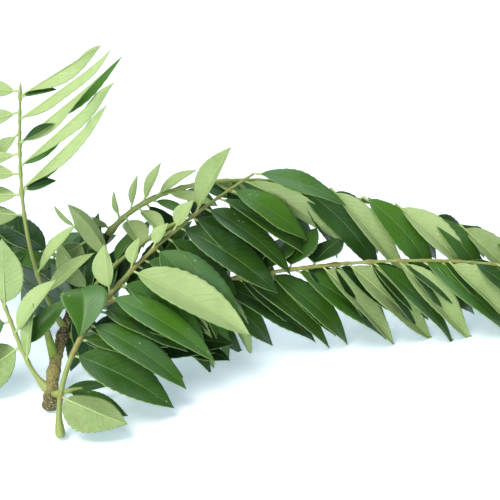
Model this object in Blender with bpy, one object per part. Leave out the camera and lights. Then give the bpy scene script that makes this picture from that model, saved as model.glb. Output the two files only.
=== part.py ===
"""A cut curry leaf sprig that lies on a table: a short woody stem and its compound leaves.

Every compound leaf is a rachis (its long stalk) with leaflets along both sides. One picked leaf,
leaf A, rests across the front of the sprig. Designed in mm, and built in metres.
"""
import math
import bmesh
import bpy
from mathutils import Vector

MM = 0.001
# The sprig is drawn about a point near its middle, then moved so that its footprint is centred.
SHIFT = Vector((-11.2, 15.5, -0.04))

GAP = 0.3                # air between neighbouring nodes
BLADE_THICKNESS = 0.4
BLADE_SEGMENTS = 8       # faces along a blade
PETIOLULE_HALF = 0.5     # half the width of a leaflet's own short stalk
PETIOLULE_LENGTH = 2.5
FLOOR = 0.22             # lowest middle of a blade, just over half its thickness
ROUND_BASE = 0.75        # power that rounds the blade's base
LONG_TIP = 1.05          # power that draws out its tip
FINE_STEP = 0.5          # distance between the points of a measured line
RACHIS_STEP = 8.0        # distance between the rings of a rachis
STEM_STEP = 5.0
RACHIS_ROUNDNESS = 1     # bevel resolutions, which give 6 and 10 sides
STEM_ROUNDNESS = 3
# A leaflet with no turn shows its upper face this way: to the front and a little up.
FACING = Vector((0.0, -0.93, 0.37))

# Four points a stalk: where it starts, two handles that bend it, and its tip. A single number in
# place of the start is how far along the stem the stalk grows out.
STEM_ROUTE = ((-70, -60, 3), (-73, -40, 8), (-68, -12, 25), (-52, 0, 48))
STEM_RADII = (2.4, 1.2)
STUB_ROUTE = ((-71, -36, 8), (-71, -39, 12), (-72, -40, 18), (-73, -40, 24))
STUB_RADII = (2.2, 1.1)
RACHIS_ROUTES = {
    "a": ((-64, -78, 1.2), (-70, -62, 24), (-50, -28, 44), (2, 10, 66)),
    "b": (0.10, (-82, -46, 10), (-86, -36, 30), (-96, -31, 49)),
    "c": (0.45, (-84, -28, 45), (-84, -14, 75), (-83, -3, 105)),
    "d": (0.50, (-56, -18, 36), (-42, -12, 46), (-26, -7, 53)),
    "e": (0.95, (-26, -4, 84), (44, 30, 56), (122, 38, 19)),
    "f": (0.55, (-10, -16, 32), (45, 5, 40), (119, 20, 21)),
    "g": (0.06, (-64, -58, 9), (-61, -59, 10), (-58, -59, 10)),
    "h": (0.75, (-76, 14, 31), (-100, 30, 34), (-120, 36, 40)),
    "i": (0.85, (-60, -10, 45), (-63, -15, 51), (-64, -19, 57)),
}
RACHIS_RADII = {"a": (1.0, 0.45), "b": (0.9, 0.5), "c": (0.9, 0.4), "d": (0.8, 0.75), "e": (0.9, 0.4),
                "f": (0.9, 0.45), "g": (0.8, 0.5), "h": (0.8, 0.4), "i": (0.8, 0.45)}

# How a leaflet lies: its turn, fold and bow. Turn rolls the blade about its midrib, fold lifts both
# halves into a V and bow arches it. A small letter points right, a capital left. t tilts its upper
# face up, b shows it broadly, u and U are undersides, s and S hang, r is at the back.
FACES = {"t": (-52, 16, 0.06), "o": (-38, 10, 0.10), "b": (-12, 14, 0.04), "u": (138, -22, -0.04), "s": (-138, 24, 0.05),
         "r": (-116, 15, 0.05), "T": (30, 14, 0.05), "U": (-155, -18, 0.0), "S": (-150, 15, 0.05)}


def spread(values, t):
    """A value t of the way along a rank. The values of a tuple are spread evenly along it."""
    if not isinstance(values, tuple):
        return values
    place = t * (len(values) - 1)
    k = min(int(place), len(values) - 2)
    return values[k] + (values[k + 1] - values[k]) * (place - k)


def rank(faces, places, length, heading, rise, half_width, nodes, sway=1.0):
    """Rows for evenly placed leaflets, one for each letter of faces, each a little off the rule.

    A row is the leaflet's number, place along the rachis, length, heading, rise, half width, turn,
    fold, bow and sweep. Number 0 keeps the place of a leaflet that this model leaves out.
    """
    rows = []
    for k, face in enumerate(faces):
        t = k / max(1, len(faces) - 1)
        turn, fold, bow = FACES[face]
        one, other = sway * math.sin(2.4 * k + 1), sway * math.sin(3.7 * k + 2)
        node = nodes[k] if k < len(nodes) else 0
        rows.append((node, spread(places, t), spread(length, t) * (1 + 0.06 * one),
                     spread(heading, t) + 5 * other, spread(rise, t) + 4 * one,
                     spread(half_width, t) * (1 + 0.06 * other), turn + 6 * other, fold, bow, 0.0))
    return rows


LEAFLETS = {
    # The picked leaf: one leaflet on the table, a rank in front, and upright ones behind.
    "a": [(1, 14, 26, -22, -13, 9.0, 130, 20, 0.0, 0.0)]
    + rank("tttubtttt", (30, 134), (38, 46, 47, 41, 36), (-12, -9, -9, -4, 2), (-31, -29, -37, -38, -25),
           (9, 8, 9.5, 9, 6.5), nodes=range(2, 11))
    + [(11, 33, 27, 90, 48, 9.0, 5, 26, 0.02, 0.08)]
    + rank("uuuuu", (57, 104), (17, 13, 12, 13, 33), (100, 60, 30, -20), (58, 50, 45, 66),
           (5, 3.5, 3, 6), nodes=(12, 0, 0, 0, 13)),
    # The leaf at the front left: a rank to the left, which hangs, and one that stands.
    "b": rank("STS", (20, 40), (32, 24), (180, 192), (-33, -22, -2), (9.5, 7.5), nodes=(1, 0, 4))
    + rank("ubu", (14, 25), (21, 29), (36, 20, -12), (76, 45, 55), (3, 5), nodes=(0, 0, 3))
    + [(2, 35, 28, -65, 84, 7.0, 165, 14, 0.0, 0.0)],
    # The upright leaf: leaflets to the right at its top, and narrow ones to the left.
    "c": [(node, spread((54, 88), k / 4), spread((48, 52, 38), k / 4), -11, spread((45, 40, 33), k / 4),
           5.3, 103, 44, 0.0, 0.0)
          for k, node in enumerate((5, 4, 3, 2, 1))]
    + rank("SSUUUUU", (45, 90), (31, 30, 27), (180, 176, 172), (8, 2, -38, 0), (5, 3.4, 4.4),
           nodes=(8, 0, 0, 0, 7, 0, 6)),
    "d": [(1, 25, 32, -155, 60, 4.5, -150, 32, 0.0, -0.07)],
    # The long leaf at the back: a small leaflet at its foot, a rank in front and one behind.
    "e": rank("uuuuu", (3, 24), (9, 14, 20), (190, 120, 60, -10, 5), (35, 60, 70, 62, 38), (1.6, 2, 3.2),
              nodes=(0, 0, 0, 1))
    + rank("ouououoou", (80, 198), (50, 47, 41, 37), (2, -12, -15, -14), (-52, -46, -46, -40), (7.2, 7.8, 7.2, 6.4),
           nodes=(0, 2, 3, 0, 4, 0, 5, 0, 6))
    + rank("rr", (112, 150), (40, 34), (50, 48), (-46, -40), 7.2, nodes=(8, 7)),
    # The long leaf at the front: the fullest rank, whose tips reach the table.
    "f": rank("ttttuutututut" "t", (54, 190), (47, 46, 48, 46, 43), (5, 4, -1, -6, -12, -4),
              (-38, -43, -47, -45, -38, -29), (7, 7.8, 7.6, 7.8, 7.6),
              nodes=(1, 0, 2, 3, 4, 0, 5, 0, 6, 7, 0, 8, 0, 9))
    + rank("rrr", (52, 152), (46, 43, 30), (58, 50), (-44, -58), 7.2, nodes=(10, 11, 12)),
    "g": rank("tt", (4, 7), (21, 24), (30, -9), (-5, -20), (2.6, 4), nodes=(0, 1), sway=0.0),
    # The leaf at the back left: an upper rank that stands, and one that hangs behind.
    "h": rank("TTTT", (27, 72), (28, 20), (165, 170), (24, 14), 6.6, nodes=(0, 0, 0, 2))
    + [(1, 32, 40, 115, -57, 7.5, 110, 15, 0.05, 0.0)],
}


def clear_scene():
    for obj in list(bpy.data.objects):
        bpy.data.objects.remove(obj, do_unlink=True)


def curve(route):
    """Close points along the Bezier curve of a route's four points."""
    start, first_handle, last_handle, tip = (Vector(point) for point in route)
    line = []
    for k in range(129):
        t = k / 128
        line.append(start * (1 - t)**3 + first_handle * (3 * t * (1 - t)**2)
                    + last_handle * (3 * t**2 * (1 - t)) + tip * t**3)
    return line


def even_line(dense, step):
    """The same line with its points evenly spaced, about step apart."""
    lengths = [(b - a).length for a, b in zip(dense, dense[1:])]
    count = max(2, round(sum(lengths) / step))
    spacing = sum(lengths) / count
    line = [dense[0]]
    passed = 0.0
    for a, b, length in zip(dense, dense[1:], lengths):
        while len(line) < count and passed + length >= spacing * len(line):
            line.append(a.lerp(b, (spacing * len(line) - passed) / length))
        passed += length
    return line + [dense[-1]]


def rooted(route, stem):
    """The route with its start on the stem, where it was given as a place along the stem."""
    if isinstance(route[0], tuple):
        return route
    return (stem[round(route[0] * (len(stem) - 1))], *route[1:])


def radius_at(ends, fraction):
    return ends[0] + (ends[1] - ends[0]) * fraction


def outside_stem(line, radius, stem):
    """The line without its first stretch, which would touch the stem."""
    last_inside = -1
    for k, point in enumerate(line):
        for j, centre in enumerate(stem):
            reach = radius_at(STEM_RADII, j / len(stem)) + radius + GAP
            if (point - centre).length < reach:
                last_inside = k
    return line[last_inside + 1:]


def plain_material(name, colour, roughness):
    material = bpy.data.materials.new(name)
    material.use_nodes = True
    surface = material.node_tree.nodes["Principled BSDF"]
    surface.inputs["Base Color"].default_value = (*colour, 1)
    surface.inputs["Roughness"].default_value = roughness
    surface.inputs["Metallic"].default_value = 0
    return material


def bark_material():
    return plain_material("bark", (0.16, 0.13, 0.07), 0.8)


def stub_material():
    return plain_material("green_shoot", (0.24, 0.30, 0.08), 0.55)


def rachis_material():
    return plain_material("rachis_skin", (0.34, 0.38, 0.12), 0.45)


def leaflet_material():
    return plain_material("leaflet_green", (0.06, 0.16, 0.03), 0.35)


def add_object(name, data, origin, material):
    data.materials.append(material)
    obj = bpy.data.objects.new(name, data)
    obj.location = (origin + SHIFT) * MM
    bpy.context.scene.collection.objects.link(obj)
    return obj


def add_stalk(name, line, ends, roundness, material):
    """A tapered round stalk: a bevelled curve with closed ends, and its origin where it grows from."""
    curve = bpy.data.curves.new(name, "CURVE")
    curve.dimensions = "3D"
    curve.bevel_depth = ends[0] * MM
    curve.bevel_resolution = roundness
    curve.use_fill_caps = True
    spline = curve.splines.new("POLY")
    spline.points.add(len(line) - 1)
    for k, (place, point) in enumerate(zip(line, spline.points)):
        point.co = (*((place - line[0]) * MM), 1)
        point.radius = radius_at(ends, k / (len(line) - 1)) / ends[0]
    return add_object(name, curve, line[0], material)


def outline(x):
    """The half width of a blade from base to tip, 1 where it is widest."""
    widest = ROUND_BASE / (ROUND_BASE + LONG_TIP)
    shape = x**ROUND_BASE * (1 - x)**LONG_TIP
    return shape / (widest**ROUND_BASE * (1 - widest)**LONG_TIP)


def blade_point(u, v, length, half_width, axis, normal, side, fold, bow, sweep):
    """A point of a leaflet: u runs along the midrib and v across it, from -1 to 1."""
    arch = 4 * u * (1 - u) * length
    midrib = axis * (u * length) + normal * (bow * arch) + side * (sweep * arch)
    tangent = (axis + (normal * bow + side * sweep) * (4 - 8 * u)).normalized()
    up = (normal - tangent * normal.dot(tangent)).normalized()
    out = tangent.cross(up)
    stalk = PETIOLULE_LENGTH / length
    half = half_width * outline(max(0.0, (u - stalk) / (1 - stalk)))
    half = max(half, PETIOLULE_HALF)
    return midrib + out * (half * v * math.cos(fold)) + up * (half * abs(v) * math.sin(fold))


def add_leaflet(name, base, rachis_direction, rachis_radius, row, material):
    """A leaflet: a flat grid bent to the blade's shape, with a Solidify modifier for thickness."""
    _, _, length, heading, rise, half_width, turn, fold, bow, sweep = row
    heading, rise, turn, fold = (math.radians(angle) for angle in (heading, rise, turn, fold))
    axis = Vector((math.cos(rise) * math.cos(heading), math.cos(rise) * math.sin(heading),
                   math.sin(rise)))
    facing = (FACING - axis * FACING.dot(axis)).normalized()
    normal = facing * math.cos(turn) + axis.cross(facing) * math.sin(turn)
    side = axis.cross(normal)
    lean = max(0.35, axis.cross(rachis_direction).length)
    start = (rachis_radius + GAP + PETIOLULE_HALF) / lean / length
    sheet = bmesh.new()
    bmesh.ops.create_grid(sheet, x_segments=BLADE_SEGMENTS, y_segments=2, size=1)
    for vertex in sheet.verts:
        u = start + (1 - start) * (vertex.co.x + 1) / 2
        place = blade_point(u, vertex.co.y, length, half_width, axis, normal, side, fold, bow, sweep)
        place.z = max(place.z, FLOOR - base.z)
        vertex.co = place * MM
    mesh = bpy.data.meshes.new(name)
    sheet.to_mesh(mesh)
    sheet.free()
    mesh.shade_smooth()
    leaflet = add_object(name, mesh, base, material)
    thickness = leaflet.modifiers.new("thickness", "SOLIDIFY")
    thickness.thickness = BLADE_THICKNESS * MM
    thickness.offset = 0
    return leaflet


def add_compound_leaf(leaf, stem, skins):
    """The rachis of one compound leaf, and its leaflets."""
    ends = RACHIS_RADII[leaf]
    fine = even_line(curve(rooted(RACHIS_ROUTES[leaf], stem)), FINE_STEP)
    clear = outside_stem(fine, ends[0], stem)
    add_stalk(f"leaf_{leaf}_rachis", even_line(clear, RACHIS_STEP), ends,
              RACHIS_ROUNDNESS, skins["rachis"])
    for row in LEAFLETS.get(leaf, []):
        if not row[0]:
            continue
        k = min(len(fine) - 2, round(row[1] / FINE_STEP))
        direction = (fine[k + 1] - fine[k]).normalized()
        radius = radius_at(ends, k / len(fine))
        name = f"leaf_{leaf}_leaflet_{row[0]:02d}"
        add_leaflet(name, fine[k], direction, radius, row, skins["leaflet"])


clear_scene()
stem_line = even_line(curve(STEM_ROUTE), FINE_STEP)
add_stalk("main_stem", even_line(stem_line, STEM_STEP), STEM_RADII, STEM_ROUNDNESS,
          bark_material())
stub_line = outside_stem(even_line(curve(STUB_ROUTE), FINE_STEP), STUB_RADII[0], stem_line)
add_stalk("side_stub", stub_line[::6], STUB_RADII, STEM_ROUNDNESS, stub_material())
SKINS = {"rachis": rachis_material(), "leaflet": leaflet_material()}
for leaf_name in RACHIS_ROUTES:
    add_compound_leaf(leaf_name, stem_line, SKINS)
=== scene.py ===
# %% [markdown]
# # A curry leaf sprig
# This lesson dresses a plain model of a cut sprig: a short woody stem, its compound leaves, and one
# picked leaf that lies across the front. The plain model is loaded first as a fixed frame, and each
# new piece takes the place of one of its parts. Everything is worked out in millimetres and turned
# into metres when a mesh is filled.

# %% Load the frame
import math
import bpy
import numpy as np
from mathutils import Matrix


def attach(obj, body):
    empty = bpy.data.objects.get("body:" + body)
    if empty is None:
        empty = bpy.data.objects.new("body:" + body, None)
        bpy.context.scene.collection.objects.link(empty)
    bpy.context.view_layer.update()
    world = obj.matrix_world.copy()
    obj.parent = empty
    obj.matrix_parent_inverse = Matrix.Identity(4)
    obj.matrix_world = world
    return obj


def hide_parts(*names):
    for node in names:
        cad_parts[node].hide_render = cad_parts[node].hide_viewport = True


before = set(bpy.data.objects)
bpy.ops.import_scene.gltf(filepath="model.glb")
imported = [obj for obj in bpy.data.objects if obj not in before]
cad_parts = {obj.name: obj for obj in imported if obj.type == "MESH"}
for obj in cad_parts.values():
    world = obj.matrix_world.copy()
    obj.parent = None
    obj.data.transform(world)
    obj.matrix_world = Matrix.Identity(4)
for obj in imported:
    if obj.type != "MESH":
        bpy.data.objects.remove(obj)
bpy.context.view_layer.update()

MM = 0.001
SHIFT = np.array([-11.2, 15.5, -0.04])

# %% [markdown]
# ## Camera, floor and light
# The sprig lies on a white table top in a bright studio. A long lens far away keeps the leaves in
# proportion. The camera looks down on it by 22 degrees. A large lamp overhead and one in front give
# the leaves their broad sheen, and a cool one behind lights their rims. The world is white where
# the camera sees it, and only a dim blue fill elsewhere, so the shadows inside the heap stay deep.

# %% Camera
TARGET = np.array([0.0, 0.0, 38.25])
ELEVATION = math.radians(22)
DISTANCE = 510.0
LENS = 96
SENSOR_WIDTH = 36


def add_camera():
    data = bpy.data.cameras.new("camera")
    data.lens = LENS
    data.sensor_width = SENSOR_WIDTH
    camera = bpy.data.objects.new("camera", data)
    offset = np.array([0, -math.cos(ELEVATION), math.sin(ELEVATION)]) * DISTANCE
    camera.location = (TARGET + SHIFT + offset) * MM
    camera.rotation_euler = (math.radians(90) - ELEVATION, 0, 0)
    bpy.context.scene.collection.objects.link(camera)
    bpy.context.scene.camera = camera
    return camera


print("camera at", tuple(add_camera().location))

# %% Floor and lights
FLOOR_SIZE = 6
FLOOR_GLOW = 0.46


def plain_surface(name, colour, roughness):
    material = bpy.data.materials.new(name)
    material.use_nodes = True
    surface = material.node_tree.nodes["Principled BSDF"]
    surface.inputs["Base Color"].default_value = (*colour, 1)
    surface.inputs["Roughness"].default_value = roughness
    return material


def deselect():
    if bpy.context.mode != "OBJECT":
        bpy.ops.object.mode_set(mode="OBJECT")
    bpy.ops.object.select_all(action="DESELECT")


def add_floor():
    deselect()
    bpy.ops.mesh.primitive_plane_add(size=FLOOR_SIZE, location=(0, 0, 0))
    floor = bpy.context.object
    floor.name = "floor"
    bpy.ops.object.transform_apply(location=True, rotation=True, scale=True)
    table = plain_surface("white_table", (0.82, 0.84, 0.87), 0.6)
    glow = table.node_tree.nodes["Principled BSDF"].inputs
    glow["Emission Color"].default_value = (0.66, 0.86, 1.0, 1)
    glow["Emission Strength"].default_value = FLOOR_GLOW
    floor.data.materials.append(table)
    return floor


def add_softbox(name, source, strength, spread, colour):
    """A distant soft lamp. source is the direction that the light comes from."""
    data = bpy.data.lights.new(name, "SUN")
    data.energy = strength
    data.angle = math.radians(spread)
    data.color = colour
    lamp = bpy.data.objects.new(name, data)
    across = math.atan2(source[0], -source[1])
    down = math.atan2(math.hypot(source[0], source[1]), source[2])
    lamp.rotation_euler = (down, 0, across)
    lamp.location = np.array(source) * 0.5
    bpy.context.scene.collection.objects.link(lamp)
    return lamp


def set_world(colour, strength):
    """A dim fill for the shadows, which the camera sees as white as the table."""
    world = bpy.data.worlds.new("studio")
    world.use_nodes = True
    nodes, links = world.node_tree.nodes, world.node_tree.links
    fill = nodes["Background"]
    fill.inputs["Color"].default_value = (*colour, 1)
    fill.inputs["Strength"].default_value = strength
    wall = nodes.new("ShaderNodeBackground")
    wall.inputs["Color"].default_value = (1, 1, 1, 1)
    choose = nodes.new("ShaderNodeMixShader")
    links.new(nodes.new("ShaderNodeLightPath").outputs["Is Camera Ray"], choose.inputs[0])
    links.new(fill.outputs[0], choose.inputs[1])
    links.new(wall.outputs[0], choose.inputs[2])
    links.new(choose.outputs[0], nodes["World Output"].inputs[0])
    bpy.context.scene.world = world


add_floor()
add_softbox("overhead", (-0.45, -0.35, 1.0), 2.6, 34, (1.0, 0.995, 0.96))
add_softbox("front", (-0.35, -1.0, 0.40), 1.75, 36, (1.0, 1.0, 0.95))
add_softbox("back", (0.15, 0.62, 0.90), 1.3, 56, (0.80, 0.93, 1.0))
set_world((0.80, 0.92, 1.0), 0.08)
bpy.context.scene.view_settings.view_transform = "Standard"
print("floor, three soft lamps and a pale world")

# %% [markdown]
# ## Shader helpers
# A material is a small sum of patterns. The class below wraps one socket, so that a pattern can be
# written as arithmetic: each operator adds the Math node that it stands for. Colours are mixed with
# Mix nodes, because a Math node would turn them grey.

# %% Shader classes
class Wire:
    """One value in a material's node tree, with Python's operators."""

    def __init__(self, paint, socket):
        self.paint = paint
        self.socket = socket

    def maths(self, operation, *others):
        return self.paint.node("ShaderNodeMath", {"operation": operation}, [self, *others])

    def __add__(self, other):
        return self.maths("ADD", other)

    __radd__ = __add__

    def __sub__(self, other):
        return self.maths("SUBTRACT", other)

    def __rsub__(self, other):
        return self.paint.node("ShaderNodeMath", {"operation": "SUBTRACT"}, [other, self])

    def __mul__(self, other):
        return self.maths("MULTIPLY", other)

    __rmul__ = __mul__

    def __truediv__(self, other):
        return self.maths("DIVIDE", other)

    def __pow__(self, other):
        return self.maths("POWER", other)


class Paint:
    """A material under construction."""

    def __init__(self, name):
        self.material = bpy.data.materials.new(name)
        self.material.use_nodes = True
        self.tree = self.material.node_tree
        self.surface = self.tree.nodes["Principled BSDF"]

    def node(self, kind, settings=None, inputs=(), output=0):
        node = self.tree.nodes.new(kind)
        for key, value in (settings or {}).items():
            setattr(node, key, value)
        pairs = inputs.items() if isinstance(inputs, dict) else enumerate(inputs)
        for key, value in pairs:
            self.plug(node.inputs[key], value)
        return Wire(self, node.outputs[output])

    def plug(self, socket, value):
        if isinstance(value, Wire):
            self.tree.links.new(value.socket, socket)
        elif isinstance(value, tuple) and len(value) == 3 and socket.type == "RGBA":
            socket.default_value = (*value, 1)
        else:
            socket.default_value = value

    def mix(self, factor, a, b):
        node = self.tree.nodes.new("ShaderNodeMix")
        node.data_type = "RGBA"
        self.plug(node.inputs["Factor"], factor)
        self.plug(node.inputs[6], a)
        self.plug(node.inputs[7], b)
        return Wire(self, node.outputs[2])

    def set(self, **values):
        for key, value in values.items():
            self.plug(self.surface.inputs[key.replace("_", " ")], value)

    def attribute(self, name):
        return self.node("ShaderNodeAttribute", {"attribute_name": name}, output=2)

    def uv(self):
        wire = self.node("ShaderNodeUVMap", {"uv_map": "UVMap"})
        split = self.tree.nodes.new("ShaderNodeSeparateXYZ")
        self.tree.links.new(wire.socket, split.inputs[0])
        return Wire(self, split.outputs[0]), Wire(self, split.outputs[1])

    def place(self):
        return self.node("ShaderNodeTexCoord", output=3)

    def noise(self, scale, detail=3.0, roughness=0.5, place=None):
        inputs = {"Vector": place or self.place(), "Scale": scale, "Detail": detail,
                  "Roughness": roughness}
        return self.node("ShaderNodeTexNoise", None, inputs)

    def cells(self, scale):
        """The distance from the middle of each of many small cells."""
        inputs = {"Vector": self.place(), "Scale": scale}
        return self.node("ShaderNodeTexVoronoi", {"feature": "F1"}, inputs)

    def ramp(self, value, low, high):
        """0 below low and 1 above high, smooth between."""
        settings = {"interpolation_type": "SMOOTHSTEP"}
        return self.node("ShaderNodeMapRange", settings, [value, low, high, 0.0, 1.0])

    def bump(self, height, strength, distance):
        inputs = {"Height": height, "Strength": strength, "Distance": distance}
        self.set(Normal=self.node("ShaderNodeBump", None, inputs))


print("shader helpers ready")

# %% [markdown]
# ## Leaf skins
# A curry leaflet is dark and waxy above and pale and matt below. Both sides show the midrib and a
# dozen pairs of fine side veins that slant towards the tip. The blade's own UV map runs from its
# base to its tip and from edge to edge, so the veins can be drawn with it and follow every bend.

# %% Vein patterns
VEIN_PAIRS = 13
VEIN_SLANT = 0.22


def vein_pattern(paint):
    """(midrib, side veins, distance from the midrib): each 1 on a vein and 0 between."""
    along, across = paint.uv()
    off = (across * 2 - 1).maths("ABSOLUTE")
    midrib = 1 - paint.ramp(off, 0.010, 0.050)
    wobble = paint.noise(90.0, 3.0) - 0.5
    phase = (along - off * VEIN_SLANT) * VEIN_PAIRS + wobble * 1.3 + paint.attribute("tone_and_shade") * 7
    wave = (phase * math.tau).maths("COSINE")
    side = paint.ramp(wave, 0.80, 1.0) * (1 - paint.ramp(off, 0.62, 0.97))
    return midrib, side * paint.ramp(paint.noise(75.0, 2.0), 0.30, 0.65), off


def water_drops(paint):
    """Small beads of water, in groups: 1 in the middle of a bead and 0 off it."""
    cells = paint.cells(330.0)
    return (1 - paint.ramp(cells, 0.09, 0.17)) * paint.ramp(paint.noise(60.0, 1.0), 0.56, 0.62)


def upper_skin():
    paint = Paint("leaflet_upper")
    midrib, side, off = vein_pattern(paint)
    drops_and_glints = water_drops(paint)
    tone_and_shade = paint.attribute("tone_and_shade")
    cloud = paint.noise(55.0, 4.0, 0.6)
    fine = paint.noise(900.0, 2.0)
    painted_sheen = paint.ramp(paint.noise(34.0, 4.0, 0.65), 0.42, 0.66)
    # Towards the dark colour the upper face is painted shade, for leaflets deep in the heap.
    dark = paint.mix(cloud, (0.004, 0.018, 0.004), (0.016, 0.062, 0.009))
    bright = paint.mix(cloud, (0.060, 0.195, 0.016), (0.150, 0.345, 0.030))
    base = paint.mix(tone_and_shade, dark, bright)
    # Bluish patches of painted sheen.
    base = paint.mix(painted_sheen * 0.32, base, (0.115, 0.235, 0.135))
    base = paint.mix(side * 0.18, base, (0.13, 0.27, 0.07))
    base = paint.mix(midrib * 0.55, base, (0.17, 0.31, 0.08))
    base = paint.mix(paint.ramp(off, 0.94, 1.0) * 0.45, base, (0.24, 0.38, 0.10))
    # Water beads, painted pale for the glint on them.
    base = paint.mix(drops_and_glints * 0.30, base, (0.70, 0.80, 0.74))
    paint.set(Base_Color=base, Roughness=0.26 + cloud * 0.16 + painted_sheen * 0.14 - drops_and_glints * 0.26)
    paint.surface.inputs["Specular IOR Level"].default_value = 0.42
    paint.bump(fine * 0.3 - side * 0.6 - midrib * 1.6 + cloud + drops_and_glints * 1.6, 0.6, 0.00020)
    return paint.material


def under_skin():
    paint = Paint("leaflet_under")
    midrib, side, off = vein_pattern(paint)
    drops_and_glints = water_drops(paint)
    tone_and_shade = paint.attribute("tone_and_shade")
    cloud = paint.noise(70.0, 4.0, 0.6)
    net = paint.noise(520.0, 3.0, 0.6)
    mottle = paint.ramp(paint.noise(42.0, 5.0, 0.7), 0.44, 0.66)
    # Towards the dark green the underside is painted shade, for leaflets deep in the heap.
    painted_shade_under = paint.mix(cloud, (0.040, 0.090, 0.013), (0.085, 0.155, 0.030))
    pale = paint.mix(cloud, (0.330, 0.460, 0.165), (0.460, 0.590, 0.260))
    base = paint.mix(tone_and_shade, painted_shade_under, pale)
    base = paint.mix(mottle * 0.34, base, (0.150, 0.260, 0.060))
    base = paint.mix(paint.ramp(net, 0.35, 0.7) * 0.25, base, (0.44, 0.55, 0.30))
    base = paint.mix(side * 0.32, base, (0.52, 0.62, 0.34))
    base = paint.mix(midrib * 0.5, base, (0.52, 0.62, 0.32))
    # Water beads, painted pale for the glint on them.
    base = paint.mix(drops_and_glints * 0.40, base, (0.80, 0.88, 0.78))
    paint.set(Base_Color=base, Roughness=0.62 + cloud * 0.12 - drops_and_glints * 0.5)
    paint.surface.inputs["Specular IOR Level"].default_value = 0.3
    paint.bump(net * 0.8 + side * 1.2 + cloud + drops_and_glints * 1.6, 0.65, 0.00024)
    return paint.material


def clouded_skin(name, scale, dark, bright, roughness):
    """Two colours mixed in soft clouds."""
    paint = Paint(name)
    cloud = paint.noise(scale)
    paint.set(Base_Color=paint.mix(cloud, dark, bright), Roughness=roughness + cloud * 0.1)
    return paint.material


LEAF_SKINS = [
    upper_skin(),
    under_skin(),
    clouded_skin("leaflet_rim", 80.0, (0.13, 0.24, 0.05), (0.26, 0.38, 0.12), 0.5),
    clouded_skin("leaflet_midrib", 90.0, (0.34, 0.46, 0.15), (0.46, 0.58, 0.24), 0.45),
]
MIDRIB_SLOT = 3
print("leaf skins:", [skin.name for skin in LEAF_SKINS])

# %% [markdown]
# ## Stalk skins
# A rachis is smooth and yellow-green, with an orange blush where a leaflet grows out. The main stem
# is brown bark with pale raised pores, and the cut side shoot is still green.

# %% Stalk materials
def rachis_skin():
    paint = Paint("rachis_skin")
    blush = paint.attribute("blush")
    cloud = paint.noise(70.0, 4.0)
    streak = paint.noise(400.0, 3.0)
    base = paint.mix(cloud, (0.19, 0.26, 0.050), (0.35, 0.42, 0.13))
    base = paint.mix(paint.ramp(streak, 0.5, 0.8) * 0.35, base, (0.42, 0.46, 0.20))
    base = paint.mix(blush, base, (0.27, 0.15, 0.045))
    paint.set(Base_Color=base, Roughness=0.42 + streak * 0.15)
    paint.bump(streak + cloud * 0.5, 0.4, 0.00012)
    return paint.material


def bark_skin():
    paint = Paint("bark")
    along, around = paint.uv()
    cloud = paint.noise(120.0, 5.0, 0.65)
    grit = paint.ramp(paint.noise(900.0, 3.0, 0.6), 0.48, 0.66)
    pores = paint.cells(1250.0)
    pore = 1 - paint.ramp(pores, 0.24, 0.46)
    bark_colour = paint.mix(cloud, (0.210, 0.180, 0.055), (0.430, 0.385, 0.135))
    dark_bark = paint.mix(cloud, (0.030, 0.022, 0.012), (0.095, 0.070, 0.034))
    # Past about two fifths of its length the stem is painted dark as shade.
    base = paint.mix(paint.ramp(along + cloud * 0.12, 0.34, 0.48), bark_colour, dark_bark)
    # Near the cut end it is darkened too.
    base = paint.mix((1 - paint.ramp(along, 0.02, 0.10)) * 0.75, base, dark_bark)
    base = paint.mix(grit * 0.45, base, (0.060, 0.044, 0.020))
    base = paint.mix(pore * 0.80, base, (0.56, 0.48, 0.26))
    paint.set(Base_Color=base, Roughness=0.72 + cloud * 0.2)
    paint.bump(pore * 1.2 + cloud * 1.5 - grit * 0.6, 0.9, 0.00040)
    return paint.material


def shoot_skin():
    paint = Paint("green_shoot")
    cloud = paint.noise(110.0, 4.0)
    streak = paint.noise(500.0, 3.0)
    blush = paint.attribute("blush")
    base = paint.mix(cloud, (0.12, 0.20, 0.02), (0.24, 0.36, 0.05))
    base = paint.mix(paint.ramp(streak, 0.5, 0.75) * 0.5, base, (0.34, 0.44, 0.12))
    base = paint.mix(blush, base, (0.50, 0.47, 0.27))
    paint.set(Base_Color=base, Roughness=0.5 + streak * 0.2)
    paint.bump(streak + cloud, 0.5, 0.00015)
    return paint.material


SKIN = {"rachis": rachis_skin(), "bark": bark_skin(), "shoot": shoot_skin()}
print("stalk skins:", sorted(SKIN))

# %% [markdown]
# ## Routes
# Every stalk is one Bezier curve, which two handles bend, so four points are enough for it. Leaf A
# starts nearest to the viewer. E and F sweep to the right, C stands up, and B, D, G, H, I and the
# low leaf J are the shorter ones. All but A grow out of the stem.

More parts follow.
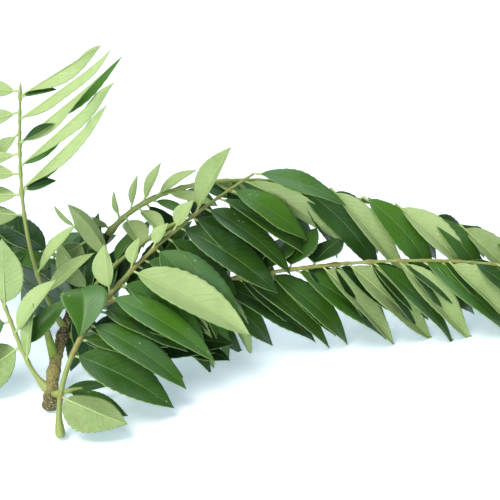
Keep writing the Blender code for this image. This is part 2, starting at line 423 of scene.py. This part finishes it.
# %% Routes and sizes
# Four points a stalk: where it starts, two handles that bend it, and its tip. A single number in
# place of the start is the fraction of the stem's length at which the stalk grows out.
STEM_ROUTE = ((-70, -60, 3), (-73, -40, 8), (-68, -12, 25), (-52, 0, 48))
STEM_RADII = (2.4, 1.2)
STUB_ROUTE = ((-71, -36, 8), (-71, -39, 12), (-72, -40, 18), (-73, -40, 24))
STUB_RADII = (2.2, 1.1)
RACHIS_ROUTES = {
    "a": ((-64, -78, 1.2), (-70, -62, 24), (-50, -28, 44), (2, 10, 66)),
    "b": (0.10, (-82, -46, 10), (-86, -36, 30), (-96, -31, 49)),
    "c": (0.45, (-84, -28, 45), (-84, -14, 75), (-83, -3, 105)),
    "d": (0.50, (-56, -18, 36), (-42, -12, 46), (-26, -7, 53)),
    "e": (0.95, (-26, -4, 84), (44, 30, 56), (122, 38, 19)),
    "f": (0.55, (-10, -16, 32), (45, 5, 40), (119, 20, 21)),
    "g": (0.06, (-64, -58, 9), (-61, -59, 10), (-58, -59, 10)),
    "h": (0.75, (-76, 14, 31), (-100, 30, 34), (-120, 36, 40)),
    "i": (0.85, (-60, -10, 45), (-63, -15, 51), (-64, -19, 57)),
    "j": (0.42, (-58, -26, 11), (-44, -24, 11), (-26, -20, 9)),
}
# The radius at the base and at the tip, before the swellings.
RACHIS_RADII = {
    "a": (1.0, 0.45), "b": (0.9, 0.5), "c": (0.9, 0.4), "d": (0.8, 0.75), "e": (0.9, 0.4),
    "f": (0.9, 0.45), "g": (0.8, 0.5), "h": (0.8, 0.4), "i": (0.8, 0.45), "j": (0.9, 0.4),
}
# A long stalk hangs this far away from its leaflets' seats.
SAG = {"e": (0, 4, -3.2)}
print("stalk routes:", 2 + len(RACHIS_ROUTES))

# %% [markdown]
# ## Ranks of leaflets
# Leaflets sit in ranks along a rachis and change little by little, so a rank is a rule with a few
# driving values instead of a list. A small wave takes each leaflet a little off the rule. A row is
# one leaflet: the node it stands for (0 for an extra one that the plain model leaves out), its
# place along the rachis, length, heading, rise and half width, then how the blade is turned about
# its midrib, folded, bowed and swept sideways, and its tone. A low tone is partly painted shade,
# for leaflets deep in the heap. A few rows end with more bends.

# %% Leaflet ranks
# How a leaflet lies: its turn, fold, bow and tone. A small letter points right, a capital left.
# t tilts its upper face up, o arches more and tilts less, b shows it broadly, d is painted dark
# for a leaflet deep in shade, u and U are pale undersides that catch the light, s and S are
# undersides in shade and painted a little darker for it, and r is one at the back.
FACES = {
    "t": (-52, 16, 0.06, 0.35), "o": (-38, 10, 0.10, 0.40), "b": (-12, 14, 0.04, 0.40),
    "d": (-48, 12, 0.05, 0.05), "u": (138, -22, -0.04, 0.95), "s": (-138, 24, 0.05, 0.80),
    "r": (-116, 15, 0.05, 0.35), "T": (30, 14, 0.05, 0.20), "U": (-155, -18, 0.00, 0.95),
    "S": (-150, 15, 0.05, 0.70),
}


def spread(values, t):
    """A value t of the way along a rank. The values of a tuple are spread evenly along it."""
    if not isinstance(values, tuple):
        return values
    place = t * (len(values) - 1)
    k = min(int(place), len(values) - 2)
    return values[k] + (values[k + 1] - values[k]) * (place - k)


def rank(faces, places, length, heading, rise, half_width, nodes=(), sway=1.0):
    """Rows for evenly placed leaflets, one for each letter of faces, each a little off the rule."""
    rows = []
    for k, face in enumerate(faces):
        t = k / max(1, len(faces) - 1)
        turn, fold, bow, tone_and_shade = FACES[face]
        one, other = sway * math.sin(2.4 * k + 1), sway * math.sin(3.7 * k + 2)
        node = nodes[k] if k < len(nodes) else 0
        rows.append((node, spread(places, t), spread(length, t) * (1 + 0.06 * one),
                     spread(heading, t) + 5 * other, spread(rise, t) + 4 * one,
                     spread(half_width, t) * (1 + 0.06 * other), turn + 6 * other, fold, bow, 0.0,
                     min(1.0, max(0.0, tone_and_shade + 0.2 * sway * math.sin(5.1 * k + 4)))))
    return rows


LEAFLETS = {
    # The picked leaf: one leaflet on the table, a rank in front, one behind it, and upright ones.
    "a": [(1, 14, 26, -22, -13, 9.0, 130, 20, 0.0, 0.0, 0.6, {"stalk": 1})]
    + rank("tttubtttt", (30, 134), (38, 46, 47, 41, 36), (-12, -9, -9, -4, 2),
           (-31, -29, -37, -38, -25), (9, 8, 9.5, 9, 6.5), nodes=range(2, 11))
    + rank("ttttttts", (36, 128), (32, 42, 42, 44, 50), (15, 8, 6), (-22, -40, -44, -32),
           (5.5, 8, 8, 6))
    # Painted dark, for the shade deep inside the heap.
    + rank("dddd", (40, 72), (42, 50), (24, 31), (-20, -42), 8)
    + [(11, 33, 27, 90, 48, 9.0, 5, 26, 0.02, 0.08, 0.55, {"curl": 1.2, "late": 1.9})]
    + rank("uuuuu", (57, 104), (17, 13, 12, 13, 33), (100, 60, 30, -20), (58, 50, 45, 66),
           (5, 3.5, 3, 6), nodes=(12, 0, 0, 0, 13)),
    # The leaf at the front left: a rank to the left, which hangs, and one that stands.
    "b": rank("STS", (20, 40), (32, 24), (180, 192), (-33, -22, -2), (9.5, 7.5), nodes=(1, 0, 4))
    + rank("ubu", (14, 25), (21, 29), (36, 20, -12), (76, 45, 55), (3, 5), nodes=(0, 0, 3))
    + [(2, 35, 28, -65, 84, 7.0, 165, 14, 0.0, 0.0, 0.9)],
    # The upright leaf: rolled leaflets to the right at its top, and narrow ones to the left.
    "c": [(node, spread((54, 88), k / 4), spread((48, 52, 38), k / 4), -11,
           spread((45, 40, 33), k / 4), 5.3, 103, 44, 0.0, 0.0, 1.0, {"twist": twist})
          for k, (node, twist) in enumerate(((5, 110), (4, 150), (3, -95), (2, 40), (1, 140)))]
    + rank("uu", (15, 23), (25, 28), -15, (39, 52), 3.4)
    # Small ones painted dark, for the shade behind the others.
    + rank("ddd", (54, 88), (14, 18, 16), -20, (18, 34, 18), 2.6)
    + rank("SSUUUUU", (45, 90), (31, 30, 27), (180, 176, 172), (8, 2, -38, 0), (5, 3.4, 4.4),
           nodes=(8, 0, 0, 0, 7, 0, 6)),
    "d": [(1, 25, 32, -155, 60, 4.5, -150, 32, 0.0, -0.07, 1.0, {"stalk": 5})]
    + rank("utu", (13, 39), (21, 19), (170, 60, 20), (58, 35, 18), (5, 3)),
    # The long leaf at the back: small leaflets at its foot, then a full rank on each side.
    "e": rank("uuuuu", (3, 24), (9, 14, 20), (190, 120, 60, -10, 5), (35, 60, 70, 62, 38),
              (1.6, 2, 3.2), nodes=(0, 0, 0, 1))
    + rank("uutubtut", (10, 52), (15, 20, 15, 25), (-60, -10, 5, 35), (-35, -14, -25, -35),
           (5, 2.5, 3.5, 4.2))
    + rank("ouououoou", (80, 198), (50, 47, 41, 37), (2, -12, -15, -14), (-52, -46, -46, -40),
           (7.2, 7.8, 7.2, 6.4), nodes=(0, 2, 3, 0, 4, 0, 5, 0, 6))
    + rank("rr", (112, 150), (40, 34), (50, 48), (-46, -40), 7.2, nodes=(8, 7))
    # Painted dark, for the shade behind and between the others.
    + rank("dddddddddddd", (20, 185), (50, 28), 26, (-66, -40), 7),
    # The long leaf at the front: the fullest rank, whose tips reach the table.
    "f": rank("ttttuututututt", (54, 190), (47, 46, 48, 46, 43), (5, 4, -1, -6, -12, -4),
              (-38, -43, -47, -45, -38, -29), (7, 7.8, 7.6, 7.8, 7.6),
              nodes=(1, 0, 2, 3, 4, 0, 5, 0, 6, 7, 0, 8, 0, 9))
    + rank("rrr", (52, 152), (46, 43, 30), (58, 50), (-44, -58), 7.2, nodes=(10, 11, 12))
    + rank("tsts", (30, 54), (36, 33), (-30, -20, 0), (-51, -70), (6, 4.5))
    # From here on, leaflets painted dark for the shade under and behind the others.
    + rank("ddd", (2, 6), (31, 24), (150, 105), (20, 20), 7.4)
    + rank("dd", (12, 22), 21, (75, 60), 41, 6.7)
    + rank("dd", (1, 2), 24, (-60, -95), -59, 6.7)
    + rank("dddddddddddd", (24, 167), 42, 16, (-46, -40), 7.2)
    + rank("dddd", (100, 145), 40, 8, (-56, -44), 7)
    + rank("ddddd", (56, 92), (25, 21), (66, 50), 24, 7)
    + rank("ddd", (4, 26), (36, 40), (75, 57), (44, 34), 8.2),
    "g": rank("tt", (4, 7), (21, 24), (30, -9), (-5, -20), (2.6, 4), nodes=(0, 1), sway=0.0),
    # The leaf at the back left: upper ranks that stand, and lower ones that hang to the table.
    "h": rank("tt", (17, 33), 22, (30, 10), 10, (6, 5.2))
    + rank("TTTT", (27, 72), (28, 20), (165, 170), (24, 14), 6.6, nodes=(0, 0, 0, 2))
    + [(1, 32, 40, 115, -57, 7.5, 110, 15, 0.05, 0.0, 0.2)]
    + rank("TTTTTT", (6, 58), (36, 21), (150, 185), (-46, -24), (8, 6.8))
    # Painted dark, for the shade low in the heap.
    + rank("dd", (4, 24), 34, (60, 125), -48, 8),
    # The low leaf in the hollow, which the plain model lacks, all in shade: nearly all its
    # leaflets are painted dark for that shade.
    "j": rank("ddddd", (6, 40), (34, 36, 26), (-8, 8, -8), (-10, -5, -8), (8, 6.5))
    + rank("ddt", (4, 12), (50, 32), (-6, -20), (-10, -17), (9, 7)),
    "i": rank("uu", (10, 18), 13, (160, 190), (-37, 50), (6, 1.5)),
}
print("leaflets:", sum(len(rows) for rows in LEAFLETS.values()))

# %% [markdown]
# ## Smooth lines
# Each route's curve is divided evenly along its length, so that rings of faces along it keep one
# size. Places along a rachis are then plain distances in mm.

# %% Lines
LINE_STEP = 0.5
SAG_START = 5
SAG_WIDTH = 30


def unit(vector):
    return vector / np.linalg.norm(vector, axis=-1, keepdims=True)


def smooth_line(route, step):
    """Even points along the Bezier curve of a route's four points."""
    start, first_handle, last_handle, tip = np.array(route, float)
    t = np.linspace(0, 1, 129)[:, None]
    line = (start * (1 - t)**3 + first_handle * 3 * t * (1 - t)**2
            + last_handle * 3 * t**2 * (1 - t) + tip * t**3)
    passed = np.concatenate([[0], np.cumsum(np.linalg.norm(np.diff(line, axis=0), axis=1))])
    even = np.linspace(0, passed[-1], max(3, round(passed[-1] / step) + 1))
    return np.stack([np.interp(even, passed, line[:, axis]) for axis in range(3)], axis=1)


def rooted(route):
    """The route with its start on the stem, where it was given as a place along the stem."""
    if isinstance(route[0], tuple):
        return route
    return (STEM_LINE[round(route[0] * (len(STEM_LINE) - 1))], *route[1:])


def sag(line, drop):
    """The stalk as it is drawn. Past the hump, it hangs this drop away from the leaflets' seats."""
    ramp = np.clip((line[:, :1] - SAG_START) / SAG_WIDTH, 0, 1)
    return line + ramp * ramp * (3 - 2 * ramp) * np.array(drop)


STEM_LINE = smooth_line(STEM_ROUTE, LINE_STEP)
LINES = {leaf: smooth_line(rooted(route), LINE_STEP) for leaf, route in RACHIS_ROUTES.items()}
DRAWN = {leaf: sag(line, SAG.get(leaf, (0, 0, 0))) for leaf, line in LINES.items()}
print("rachis lengths in mm:", {leaf: round(len(line) * LINE_STEP) for leaf, line in LINES.items()})

# %% [markdown]
# ## A sheet becomes a tube
# A stalk starts as a flat grid with UVs. Its points are moved onto rings around the route, its two
# long edges meet and are merged, and the open ends are filled. The radius may change along the
# route, so swellings at the base and at each leaflet are part of the same skin.

# %% Stalk tool
def add_grid(name, columns, rows):
    deselect()
    bpy.ops.mesh.primitive_grid_add(x_subdivisions=columns, y_subdivisions=rows, size=2)
    piece = bpy.context.object
    piece.name = name
    piece.data.name = name
    return piece


def grid_places(piece):
    """Each vertex's place on the flat grid, from 0 to 1 along and from 0 to 1 across."""
    flat = np.empty(len(piece.data.vertices) * 3)
    piece.data.vertices.foreach_get("co", flat)
    flat = flat.reshape(-1, 3)
    return (flat[:, 0] + 1) / 2, (flat[:, 1] + 1) / 2


def move_vertices(piece, places):
    piece.data.vertices.foreach_set("co", ((places + SHIFT) * MM).ravel())
    piece.data.update()


def paint_vertices(piece, name, values):
    attribute = piece.data.attributes.new(name, "FLOAT", "POINT")
    attribute.data.foreach_set("value", np.asarray(values, np.float32))


def carried_sides(tangents):
    """A direction across the line at each of its points, carried along so that it never twists."""
    side = unit(np.cross(tangents[0], (0.3, 0.5, 0.8)))
    sides = []
    for tangent in tangents:
        side = unit(side - tangent * (side @ tangent))
        sides.append(side)
    return np.array(sides)


def add_tube(name, line, radii, around, skin, blush=None, rough=0.0):
    """A closed tube. radii and blush have a value for each point of the line, rough adds lumps."""
    piece = add_grid(name, len(line) - 1, around)
    u, v = grid_places(piece)
    ring = np.clip(np.rint(u * (len(line) - 1)).astype(int), 0, len(line) - 1)
    tangents = unit(np.gradient(line, axis=0))
    sides = carried_sides(tangents)
    others = np.cross(tangents, sides)
    angle = v * math.tau
    out = sides[ring] * np.cos(angle)[:, None] + others[ring] * np.sin(angle)[:, None]
    waves = (np.sin(angle * 3 + ring * 0.9) + np.sin(angle * 2 - ring * 1.6)
             + np.sin(angle + ring * 2.3))
    lumps = 1 + rough * waves
    ends = 1 - 0.3 * (ring == 0) - 0.35 * (ring == len(line) - 1)
    move_vertices(piece, line[ring] + out * (radii[ring] * lumps * ends)[:, None])
    paint_vertices(piece, "blush", (blush if blush is not None else np.zeros(len(line)))[ring])
    close_tube(piece)
    piece.data.materials.append(skin)
    return piece


def close_tube(piece):
    bpy.ops.object.mode_set(mode="EDIT")
    bpy.ops.mesh.select_all(action="SELECT")
    bpy.ops.mesh.remove_doubles(threshold=0.000001)
    bpy.ops.mesh.select_all(action="DESELECT")
    bpy.ops.mesh.select_non_manifold()
    bpy.ops.mesh.fill()
    bpy.ops.mesh.select_all(action="SELECT")
    bpy.ops.mesh.normals_make_consistent(inside=False)
    bpy.ops.object.mode_set(mode="OBJECT")
    bpy.ops.object.shade_smooth_by_angle(angle=math.radians(50))


ASIDE = []


def dress(piece, slot, *nodes):
    """The bookkeeping of a finished piece: what it moves with and what it stands for. Its finish,
    slot, is not used.

    The piece is then set aside, because every operator updates all that is in the scene.
    """
    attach(piece, "root")
    if nodes:
        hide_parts(*nodes)
    for collection in piece.users_collection:
        collection.objects.unlink(piece)
    ASIDE.append(piece)
    return piece


print("stalk tool ready")

# %% Stem and side stub
STEM_STEP = 0.8
STUB_STEP = 0.5
# The stem swells where old leaves grew. Each swelling is a place along it, a width and a height.
STEM_KNOTS = ((1.5, 1.3, 0.5), (5, 1.2, 0.3), (10, 1.6, 0.4), (17, 2.5, 0.4), (33, 2.5, 0.5),
              (47, 2.5, 0.4), (62, 2.5, 0.3))


def swelling(count, step, centre, width, height):
    """A smooth bump in a list of radii, centred at a distance along the stalk."""
    along = np.arange(count) * step
    return height * np.exp(-(((along - centre) / width) ** 2))


def make_stem():
    line = smooth_line(STEM_ROUTE, STEM_STEP)
    radii = np.linspace(*STEM_RADII, len(line))
    for centre, width, height in STEM_KNOTS:
        radii += swelling(len(line), STEM_STEP, centre, width, height)
    stem = add_tube("main_stem", line, radii, 28, SKIN["bark"], rough=0.045)
    return dress(stem, "bark", "main_stem")


def make_stub():
    line = smooth_line(STUB_ROUTE, STUB_STEP)
    radii = np.linspace(*STUB_RADII, len(line))
    along = np.linspace(0, 1, len(line))
    stub = add_tube("side_stub", line, radii, 16, SKIN["shoot"], np.clip(along * 6 - 5, 0, 1))
    return dress(stub, "green_shoot", "side_stub")


for piece in (make_stem(), make_stub()):
    print(piece.name, "has", len(piece.data.polygons), "faces")

# %% Rachises
RING_STEP = 1.0
# How much a rachis swells at its base. Leaves A, B and G have a thicker base than the rest.
BASE_SWELLING = {"a": 0.75, "b": 1.1, "g": 0.9}
USUAL_BASE_SWELLING = 0.55
# The width and height of the bump, and of the orange blush, where a leaflet grows out.
LEAFLET_BUMP = (1.2, 0.22)
LEAFLET_BLUSH = (1.3, 0.55)
BLUSHING_LEAVES = "af"


def make_rachis(leaf):
    line = DRAWN[leaf][::round(RING_STEP / LINE_STEP)]
    radii = np.linspace(*RACHIS_RADII[leaf], len(line))
    base = BASE_SWELLING.get(leaf, USUAL_BASE_SWELLING)
    radii = radii + swelling(len(line), RING_STEP, 1.5, 4.0, base)
    blush = np.zeros(len(line))
    for row in LEAFLETS[leaf]:
        radii = radii + swelling(len(line), RING_STEP, row[1], *LEAFLET_BUMP)
        if leaf in BLUSHING_LEAVES:
            blush = np.maximum(blush, swelling(len(line), RING_STEP, row[1], *LEAFLET_BLUSH))
    piece = add_tube(f"leaf_{leaf}_rachis", line, radii, 12, SKIN["rachis"], blush)
    return dress(piece, "rachis_skin", *([f"leaf_{leaf}_rachis"] if leaf != "j" else []))


for leaf in RACHIS_ROUTES:
    make_rachis(leaf)
print("rachises:", len(RACHIS_ROUTES))

# %% [markdown]
# ## Leaflets
# A leaflet is a flat grid whose points are moved to the blade's outline, then folded along the
# midrib, arched, rippled at its edges and drooped at its tip. A Solidify modifier gives it
# thickness, and gives the underside and the rim materials of their own. A thin tapered tube under
# the blade is its midrib and, at the base, its short stalk.

# %% Leaflet shape
FACING = np.array([0.0, -0.93, 0.37])
BLADE_COLUMNS = 56
BLADE_ROWS = 14
BLADE_THICKNESS = 0.26
# The length of the blade's own short stalk, and half its width.
PETIOLULE = 2.5
PETIOLULE_HALF_WIDTH = 0.12
FLOOR_GAP = 0.3
# The outline's powers make the base rounder than the tip.
BASE_POWER = 0.75
TIP_POWER = 1.05
# Where along the blade a curl starts, and where a twist turns about.
CURL_START = 0.6
TWIST_CENTRE = 0.4
# Fine teeth at the edge, a slow ripple, puckers between the veins, and a drooping tip.
TEETH = 80
TOOTH_SIZE = 0.045
RIPPLE_SIZE = 0.075
PUCKER_SIZE = 0.14
DROOP = 0.02


def outline(x):
    """The blade's width along it, from 0 to 1, with 1 at the widest place."""
    peak = BASE_POWER / (BASE_POWER + TIP_POWER)
    widest = peak**BASE_POWER * (1 - peak)**TIP_POWER
    return x**BASE_POWER * (1 - x)**TIP_POWER / widest


def blade_frame(base, row):
    """The directions of a leaflet: along its midrib, out of its upper face, and across it."""
    heading, rise, turn = (math.radians(row[k]) for k in (3, 4, 6))
    axis = np.array([math.cos(rise) * math.cos(heading), math.cos(rise) * math.sin(heading),
                     math.sin(rise)])
    facing = unit(FACING - axis * (FACING @ axis))
    normal = facing * math.cos(turn) + np.cross(axis, facing) * math.sin(turn)
    return axis, normal, np.cross(axis, normal)


def blade_places(base, row, u, v, dice):
    """Points of the blade: u from base to tip, v from -1 to 1 across. dice holds small quirks."""
    length, half_width, fold, bow, sweep = row[2], row[5], math.radians(row[7]), row[8], row[9]
    more = row[11] if len(row) > 11 else {}
    axis, normal, side = blade_frame(base, row)
    arch = 4 * u * (1 - u) * length
    slope = 4 * (1 - 2 * u)
    midrib = base + np.outer(u * length, axis)
    midrib = midrib + np.outer(arch * bow, normal) + np.outer(arch * sweep, side)
    curl = more.get("curl", 0) * length * np.maximum(u - CURL_START, 0) ** 2
    midrib = midrib - np.outer(curl, normal + axis * 0.7)
    tangent = unit(axis + np.outer(slope * bow, normal) + np.outer(slope * sweep, side))
    roll = np.radians(more.get("twist", 0)) * (u - TWIST_CENTRE)
    up = normal * np.cos(roll)[:, None] + side * np.sin(roll)[:, None]
    up = unit(up - tangent * np.sum(up * tangent, axis=1, keepdims=True))
    out = np.cross(tangent, up)
    stalk = more.get("stalk", PETIOLULE) / length
    x = np.clip((u - stalk) / (1 - stalk), 0, 1) ** more.get("late", 1)
    crenate = 1 + TOOTH_SIZE * np.sin(x * TEETH + dice[0]) * np.sqrt(x * (1 - x)) * v**6
    lopsided = 1 + 0.07 * dice[1] * np.sign(v)
    half = np.maximum(half_width * outline(x) * crenate * lopsided, PETIOLULE_HALF_WIDTH)
    reach = np.sqrt(v * v + 0.004) - 0.063
    lift = half * (reach * math.sin(fold) - 0.10 * v * v)
    ripple = np.sin(x * (7 + 3 * dice[2]) + dice[3] * np.sign(v) * 2 + dice[4]) * v * v
    pucker = np.cos((x - VEIN_SLANT * np.abs(v)) * math.tau * VEIN_PAIRS)
    pucker = pucker * np.abs(v) * (1 - np.abs(v))
    lift = lift + half_width * RIPPLE_SIZE * ripple * outline(x)
    lift = lift + PUCKER_SIZE * pucker * np.sin(x * math.pi)
    lift = lift - length * DROOP * (1 + dice[5]) * x**6
    places = midrib + out * (half * v * math.cos(fold))[:, None] + up * lift[:, None]
    places[:, 2] = np.maximum(places[:, 2], FLOOR_GAP)
    return places, up


def add_blade(name, base, row, dice):
    piece = add_grid(name, BLADE_COLUMNS, BLADE_ROWS)
    u, v = grid_places(piece)
    stalk = PETIOLULE * 0.9 / row[2]
    places, _ = blade_places(base, row, stalk + (1 - stalk) * u, 1 - 2 * v, dice)
    move_vertices(piece, places)
    for skin in LEAF_SKINS:
        piece.data.materials.append(skin)
    solid = piece.modifiers.new("thickness", "SOLIDIFY")
    solid.thickness = BLADE_THICKNESS * MM
    solid.offset = 0
    solid.material_offset = 1
    solid.material_offset_rim = 2
    bpy.ops.object.modifier_apply(modifier="thickness")
    bpy.ops.object.shade_smooth()
    return piece


def add_midrib(name, seat, base, row, dice):
    u = np.linspace(0, 0.96, 22)
    places, up = blade_places(base, row, u, np.zeros(len(u)), dice)
    radii = 0.10 + 0.34 * (1 - u) ** 1.5 + 0.12 * np.exp(-((u / 0.04) ** 2))
    line = places - up * (radii * 0.55 + 0.05)[:, None]
    if np.linalg.norm(seat - line[0]) > 1:
        line = np.vstack([seat, (seat + line[0]) / 2, line])
        radii = np.concatenate([radii[:1], radii[:1], radii])
    line[:, 2] = np.maximum(line[:, 2], radii)
    return add_tube(name, line, radii, 8, LEAF_SKINS[MIDRIB_SLOT])


def make_leaflet(leaf, number, row):
    node = f"leaf_{leaf}_leaflet_{row[0]:02d}"
    name = node if row[0] else f"leaf_{leaf}_extra_{number:02d}"
    rng = np.random.default_rng(1000 * ord(leaf) + number)
    dice = rng.uniform(-1, 1, 8)
    line = LINES[leaf]
    place = min(len(line) - 1, round(row[1] / LINE_STEP))
    base, seat = line[place], DRAWN[leaf][place]
    midrib = add_midrib(name + "_midrib", seat, base, row, dice)
    blade = add_blade(name, base, row, dice)
    # The row's tone with a small random change; a low tone is partly painted shade.
    tone_and_shade = np.full(len(blade.data.vertices), np.clip(row[10] + 0.12 * dice[6], 0, 1))
    paint_vertices(blade, "tone_and_shade", tone_and_shade)
    midrib.data.materials.clear()
    for skin in LEAF_SKINS:
        midrib.data.materials.append(skin)
    midrib.data.polygons.foreach_set("material_index", [MIDRIB_SLOT] * len(midrib.data.polygons))
    deselect()
    midrib.select_set(True)
    blade.select_set(True)
    bpy.context.view_layer.objects.active = blade
    bpy.ops.object.join()
    return dress(blade, "leaflet_green", *([node] if row[0] else []))


made = []
for leaf, rows in LEAFLETS.items():
    for number, row in enumerate(rows, 1):
        made.append(make_leaflet(leaf, number, row))
print("leaflets made:", len(made), "with", sum(len(piece.data.polygons) for piece in made), "faces")

# %% [markdown]
# ## Finish
# The pieces that were set aside are put back into the scene.

# %% Put the pieces back
for piece in ASIDE:
    bpy.context.scene.collection.objects.link(piece)
bpy.context.view_layer.update()
